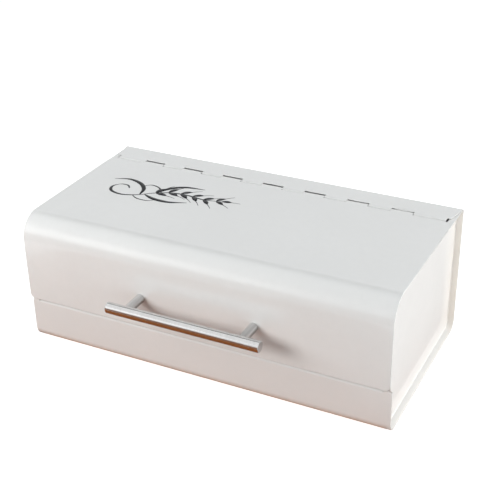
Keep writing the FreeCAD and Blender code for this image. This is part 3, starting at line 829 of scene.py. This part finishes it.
# The sprig is drawn in millimetres, from left to right and upwards, as the lid is seen from the
# front: the stem with its curl, the long leaves, and the tendrils.
STEM = [(27, 20), (22, 26), (13, 26), (7, 18), (11, 8), (25, 3), (42, 7), (58, 17), (76, 24),
        (96, 24), (116, 20), (136, 22)]
LEAVES = [
    [(45, 9), (43, 23), (33, 35), (17, 41), (0, 37)],
    [(60, 18), (70, 33), (86, 42), (108, 43)],
    [(50, 11), (64, 4), (82, 2), (102, 7)],
]
TENDRILS = [
    [(66, 20), (58, 31), (47, 35), (40, 29), (45, 24)],
    [(38, 5), (47, -1), (60, -2), (66, 3), (60, 6)],
]
# Where the ear starts along the stem, how many pairs of grains it has, a grain's length and how
# far it leans out in degrees.
EAR_START, EAR_GRAINS, GRAIN, GRAIN_LEAN = 0.6, 6, 13.0, 36
# Where the drawing's origin lies on the lid, and how far the drawing is turned in degrees.
SPRIG_PLACE, SPRIG_TURN = (-166 * MM, -2 * MM, TOP - 0.025 * MM), 4.8


def smooth_line(points, steps=14):
    """A smooth line through points."""
    places = [Vector((*point, 0.0)) for point in points]
    places = [2 * places[0] - places[1], *places, 2 * places[-1] - places[-2]]
    line = []
    for index in range(1, len(places) - 2):
        before, start, end, after = places[index - 1:index + 3]
        for step in range(steps):
            t = step / steps
            line.append(0.5 * (2 * start + (end - before) * t
                               + (2 * before - 5 * start + 4 * end - after) * t ** 2
                               + (3 * start - before - 3 * end + after) * t ** 3))
    return line + [places[-2]]


def swell(along, start=0.05):
    """A width that swells from a thin start to the middle and thins again."""
    return sin(pi * (start + 0.9 * along))


def pen_width(direction, along, thin, thick):
    """A broad pen's width in one direction, tapered towards the line's two ends."""
    slant = atan2(direction.y, direction.x) - radians(35)
    return (thin + (thick - thin) * abs(sin(slant))) * swell(along) ** 0.5


def draw_ribbon(mesh, line, width_at, lift):
    """A flat ribbon along a line, as wide at each share of its length as width_at gives."""
    rows = []
    for index, place in enumerate(line):
        ahead = line[min(index + 1, len(line) - 1)] - line[max(index - 1, 0)]
        half = width_at(ahead, index / (len(line) - 1)) / 2
        side = Vector((-ahead.y, ahead.x, 0.0)).normalized() * half
        rows.append([mesh.verts.new(place - side + lift), mesh.verts.new(place + side + lift)])
    for near, far in zip(rows, rows[1:]):
        mesh.faces.new((near[0], near[1], far[1], far[0]))


def draw_grain(mesh, root, direction, size, lift):
    """A grain of the ear, with a long thin awn."""
    side = Vector((-direction.y, direction.x, 0.0))
    belly, width, awn_length, awn_lean, awn_width = 0.08, 0.44, 0.9, 0.1, 1.1
    line = [root + direction * size * t + side * size * belly * sin(pi * t)
            for t in [step / 12 for step in range(13)]]
    draw_ribbon(mesh, line, lambda ahead, t: size * width * swell(t) ** 0.8, lift)
    awn = [line[-1] + direction * size * awn_length * t - side * size * awn_lean * t * t
           for t in [step / 8 - 0.1 for step in range(10)]]
    draw_ribbon(mesh, awn, lambda ahead, t: awn_width * (1 - 0.5 * t), lift)


def make_ornament(sizes):
    """A pen-drawn ear of wheat on a curled stem, printed in black on the lid's top."""
    mesh = bmesh.new()
    # Each ribbon lies a hair above the one before, so that no two share a plane.
    lifts = (Vector((0, 0, order * 0.0006)) for order in itertools.count())
    ribbons = [(STEM, lambda ahead, t: pen_width(ahead, t, 1.3, 3.6))]
    ribbons += [(points, lambda ahead, t: pen_width(ahead, t, 1.0, 2.2)) for points in TENDRILS]
    ribbons += [(points, lambda ahead, t: 5.0 * swell(t ** 0.8, 0.06)) for points in LEAVES]
    for points, width_at in ribbons:
        draw_ribbon(mesh, smooth_line(points), width_at, next(lifts))
    stem = smooth_line(STEM)
    first = int(len(stem) * EAR_START)
    for index in range(EAR_GRAINS):
        place = first + int((len(stem) - 1 - first) * (index + 0.6) / EAR_GRAINS)
        along = (stem[place] - stem[place - 2]).normalized()
        for turn in (-1, 1):
            heading = Matrix.Rotation(turn * radians(GRAIN_LEAN), 3, "Z") @ along
            draw_grain(mesh, stem[place] + heading * 1.5, heading, GRAIN - 0.4 * index, next(lifts))
    draw_grain(mesh, stem[-1], (stem[-1] - stem[-3]).normalized(), GRAIN - 2, next(lifts))
    place = (Matrix.Translation(SPRIG_PLACE) @ Matrix.Rotation(radians(SPRIG_TURN), 4, "Z")
             @ Matrix.Scale(MM, 4))
    bmesh.ops.transform(mesh, matrix=place, verts=mesh.verts)
    bmesh.ops.recalc_face_normals(mesh, faces=mesh.faces)
    for face in mesh.faces:
        if face.normal.z < 0:
            face.normal_flip()
    piece = add_piece("lid_ornament", mesh, "lid", "lid_print")
    thicken(piece, sizes.print_depth * 0.6)


# ---- Stage ----

def seen_directly(tree):
    """Whether a ray comes from the camera, or from a mirror or glass that shows the backdrop."""
    path = tree.nodes.new("ShaderNodeLightPath").outputs
    return calculate("MAXIMUM", path["Is Camera Ray"],
                     calculate("MAXIMUM", path["Is Glossy Ray"],
                               path["Is Transmission Ray"]))


def add_board(name, corners):
    """A board that isn't part of the object, with the empty tree of its own material."""
    mesh = bmesh.new()
    mesh.faces.new([mesh.verts.new(corner) for corner in corners])
    material, tree, shader = new_material(name)
    tree.nodes.remove(shader)
    board = add_mesh(name, mesh, material)
    return board, tree


def level_board(height, *corners):
    """The corners of a level board at a height."""
    return [(x, y, height) for x, y in corners]


def disc(x, y, height, radius):
    """The corners of a level disc."""
    return [(x + radius * cos(way), y + radius * sin(way), height) for way in circle(96)]


def show(shader):
    """Let a shader be what its board's surface shows."""
    tree = shader.id_data
    feed(tree, tree.nodes["Material Output"], {"Surface": shader.outputs[0]})


def show_one_side(shader):
    """Let a shader show on its board's front, and nothing on its back."""
    tree = shader.id_data
    behind = tree.nodes.new("ShaderNodeNewGeometry").outputs["Backfacing"]
    clear = tree.nodes.new("ShaderNodeBsdfTransparent")
    show(follow_on("ShaderNodeMixShader", {0: behind, 1: shader.outputs[0], 2: clear.outputs[0]}))


def make_floor(stage):
    """A wide pale floor that keeps the box's shadow."""
    tree = add_board("pale_floor", disc(0.0, 0.0, 0.0, radius=9.0))[1]
    matt_share, glow_share = 0.5, 0.8
    matt = add_node(tree, "ShaderNodeBsdfDiffuse", {"Color": solid_colour(stage.floor, matt_share)})
    glow = add_node(tree, "ShaderNodeEmission",
                    {"Color": solid_colour(stage.floor),
                     "Strength": times(seen_directly(tree), glow_share)})
    show(follow_on("ShaderNodeAddShader", {0: matt.outputs[0], 1: glow.outputs[0]}))


# The glowing cards: each one's name, corners, colour's name and strength, and whether matt surfaces
# see it, on the side that has its corners anticlockwise, or else what shines does, on both sides.
CARDS = [
    ("edge_card", level_board(0.5 * MM, (-0.2, -0.091), (0.2, -0.091), (0.2, -0.066),
                              (-0.2, -0.066)), "edge_card", 1.0, True),
    ("rear_flange_card", [(0.206, 0.11, 0.006), (0.206, 0.1102, 0.146), (0.212, 0.1102, 0.146),
                          (0.212, 0.11, 0.006)], "rear_glow", 1.5, True),
    ("lower_flange_card", level_board(10 * MM, (0.206, -0.07), (0.206, 0.105), (0.212, 0.105),
                                      (0.212, -0.07)), "lower_glow", 1.0, True),
    ("bright_card", level_board(1.6, (-1.9, -1.7), (-0.4, -1.7), (-0.1, 0.45), (-1.6, 0.45)),
     "shine", 1.0, False),
    ("grey_card", level_board(1.6, (-1.4, 0.45), (-0.1, 0.45), (-0.2, 1.4), (-1.5, 1.4)),
     "flag", 1.0, False),
    ("warm_rim", [(-3.2, -3.0, 0.5585), (0.6, -3.0, 0.5585), (0.3, -0.35, 0.002),
                  (-0.6, -0.35, 0.002)], "rim", 1.0, False),
    ("side_card", level_board(0.6 * MM, (0.2, -0.4), (1.8, -0.4), (1.8, 2.0), (-0.4, 2.0),
                              (-0.4, 0.3), (0.2, 0.3)), "pale", 1.0, False),
]


def add_card(name, corners):
    """A board that the camera doesn't see, and that throws no shadow."""
    card, tree = add_board(name, corners)
    card.visible_camera = card.visible_shadow = card.visible_transmission = False
    return card, tree


def make_cards(stage):
    """Cards that stand for the room: a warm matt one round the box, and the glowing ones."""
    tree = add_card("warm_card", disc(-0.08, -0.02, 0.4 * MM, radius=0.34))[1]
    show_one_side(add_node(tree, "ShaderNodeBsdfDiffuse", {"Color": solid_colour(stage.card)}))
    for name, corners, tint, strength, matt in CARDS:
        card, tree = add_card(name, corners)
        glow = add_node(tree, "ShaderNodeEmission",
                        {"Color": solid_colour(getattr(stage, tint)), "Strength": strength})
        (show_one_side if matt else show)(glow)
        card.visible_diffuse, card.visible_glossy = matt, not matt


def make_sky(stage):
    """Soft light from all round, and a white backdrop."""
    world = bpy.data.worlds.new("studio")
    bpy.context.scene.world = world
    world.use_nodes = True
    tree = world.node_tree
    light = feed(tree, tree.nodes["Background"],
                 {"Color": solid_colour(stage.sky), "Strength": stage.sky_strength})
    white = add_node(tree, "ShaderNodeBackground", {"Color": (1, 1, 1, 1), "Strength": 1.0})
    chosen = follow_on("ShaderNodeMixShader",
                       {0: seen_directly(tree), 1: light.outputs[0], 2: white.outputs[0]})
    feed(tree, tree.nodes["World Output"], {"Surface": chosen.outputs[0]})


# Each soft light: its name, place, width, height, power in watts, and whether it lights matt
# surfaces or else shows in what shines.
LAMPS = [
    ("window_light", (-0.85, -1.55, 0.88), 0.8, 0.7, 17.2, True),
    ("window_shine", (-2.35, -2.45, 1.6), 2.0, 1.9, 4.8, False),
    ("left_light", (-1.3, -0.95, 0.8), 0.9, 0.7, 11.0, True),
    ("right_light", (1.7, 0.1, 0.45), 1.6, 0.8, 19.0, True),
    ("right_rear_light", (1.6, 0.7, 1.0), 1.6, 1.2, 17.0, True),
    ("right_front_light", (1.3, -1.3, 0.3), 1.2, 0.6, 3.0, True),
    ("rear_light", (-0.3, 1.0, 1.5), 1.6, 1.0, 4.5, True),
]


def make_lamps(stage):
    """Rectangular soft lights that face the middle of the box."""
    for name, place, width, height, power, matt in LAMPS:
        data = bpy.data.lights.new(name, "AREA")
        data.shape, data.size, data.size_y = "RECTANGLE", width, height
        data.energy = power * stage.light
        lamp = add_object(name, data)
        lamp.location = place
        lamp.rotation_mode = "QUATERNION"
        ahead = Vector((0, 0, TOP / 2)) - lamp.location
        lamp.rotation_quaternion = ahead.to_track_quat("-Z", "Y")
        lamp.visible_diffuse, lamp.visible_glossy = matt, not matt


def make_camera(stage):
    """The camera, at its angle to the box."""
    data = bpy.data.cameras.new("camera")
    data.lens, data.sensor_width = stage.lens, 36.0
    camera = add_object("camera", data)
    back = Vector((sin(stage.azimuth) * cos(stage.elevation),
                   -cos(stage.azimuth) * cos(stage.elevation),
                   sin(stage.elevation)))
    camera.location = Vector(stage.target) + back * stage.distance
    camera.rotation_mode = "QUATERNION"
    camera.rotation_quaternion = ((-back).to_track_quat("-Z", "Y")
                                  @ Matrix.Rotation(stage.roll, 3, "Z").to_quaternion())
    bpy.context.scene.camera = camera


# ---- Operators and panel ----

class BREADBOX_OT_body(Operator):
    """Build the painted wrap of the body"""

    bl_idname = "bread_box.body"
    bl_label = "Body sheet"

    def execute(self, context):
        make_body_shell(context.scene.bread_box_sizes)
        return {"FINISHED"}


class BREADBOX_OT_panels(Operator):
    """Build the two dished side panels"""

    bl_idname = "bread_box.panels"
    bl_label = "Side panels"

    def execute(self, context):
        for side in SIDES:
            make_side_panel(side, context.scene.bread_box_sizes)
        return {"FINISHED"}


class BREADBOX_OT_lid(Operator):
    """Build the painted sheet of the lid"""

    bl_idname = "bread_box.lid"
    bl_label = "Lid sheet"

    def execute(self, context):
        make_lid_sheet(context.scene.bread_box_sizes)
        return {"FINISHED"}


class BREADBOX_OT_ornament(Operator):
    """Print the sprig of wheat on the lid"""

    bl_idname = "bread_box.ornament"
    bl_label = "Ornament"

    def execute(self, context):
        make_ornament(context.scene.bread_box_sizes)
        return {"FINISHED"}


class BREADBOX_OT_hinge(Operator):
    """Build the hinge's wire"""

    bl_idname = "bread_box.hinge"
    bl_label = "Hinge wire"

    def execute(self, context):
        make_hinge_wire(context.scene.bread_box_sizes)
        return {"FINISHED"}


class BREADBOX_OT_handle(Operator):
    """Build the bar and its posts, and finish their fasteners"""

    bl_idname = "bread_box.handle"
    bl_label = "Handle"

    def execute(self, context):
        make_bar()
        for side in SIDES:
            make_post(side)
            for part in ("post_stud", "lid_screw", "lid_washer"):
                dress_node(f"{side}_{part}", "plated_screw")
        return {"FINISHED"}


class BREADBOX_OT_feet(Operator):
    """Build the four rubber feet"""

    bl_idname = "bread_box.feet"
    bl_label = "Feet"

    def execute(self, context):
        for end in ("front", "rear"):
            for side in SIDES:
                make_foot(end, side)
        return {"FINISHED"}


class BREADBOX_OT_stage(Operator):
    """Set the floor, the light and the camera"""

    bl_idname = "bread_box.stage"
    bl_label = "Stage"

    def execute(self, context):
        for make in (make_floor, make_cards, make_sky, make_lamps, make_camera):
            make(context.scene.bread_box_stage)
        context.scene.view_settings.view_transform = "Standard"
        return {"FINISHED"}


OPERATORS = (BREADBOX_OT_body, BREADBOX_OT_panels, BREADBOX_OT_lid, BREADBOX_OT_ornament,
             BREADBOX_OT_hinge, BREADBOX_OT_handle, BREADBOX_OT_feet, BREADBOX_OT_stage)
SETTINGS = {
    "bread_box_sizes": BreadBoxSizes,
    "bread_box_finish": BreadBoxFinish,
    "bread_box_stage": BreadBoxStage,
}


class BREADBOX_PT_pieces(Panel):
    """Lists the pieces of the bread box"""

    bl_label = "Bread box"
    bl_idname = "BREADBOX_PT_pieces"
    bl_space_type = "VIEW_3D"
    bl_region_type = "UI"
    bl_category = "Bread box"

    def draw(self, context):
        for operator in OPERATORS:
            self.layout.operator(operator.bl_idname)
        for group in SETTINGS:
            settings = getattr(context.scene, group)
            box = self.layout.box()
            for name in settings.__annotations__:
                box.prop(settings, name)


def register():
    """Register the settings, the operators and the panel."""
    for name, group in SETTINGS.items():
        bpy.utils.register_class(group)
        setattr(bpy.types.Scene, name, PointerProperty(type=group))
    for item in (*OPERATORS, BREADBOX_PT_pieces):
        bpy.utils.register_class(item)


def unregister():
    """Take them all away again."""
    for item in reversed((*OPERATORS, BREADBOX_PT_pieces)):
        bpy.utils.unregister_class(item)
    for name, group in SETTINGS.items():
        delattr(bpy.types.Scene, name)
        bpy.utils.unregister_class(group)


def main():
    """Build every piece and the stage."""
    register()
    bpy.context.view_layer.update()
    for operator in OPERATORS:
        family, name = operator.bl_idname.split(".")
        getattr(getattr(bpy.ops, family), name)()


if __name__ == "__main__":
    main()
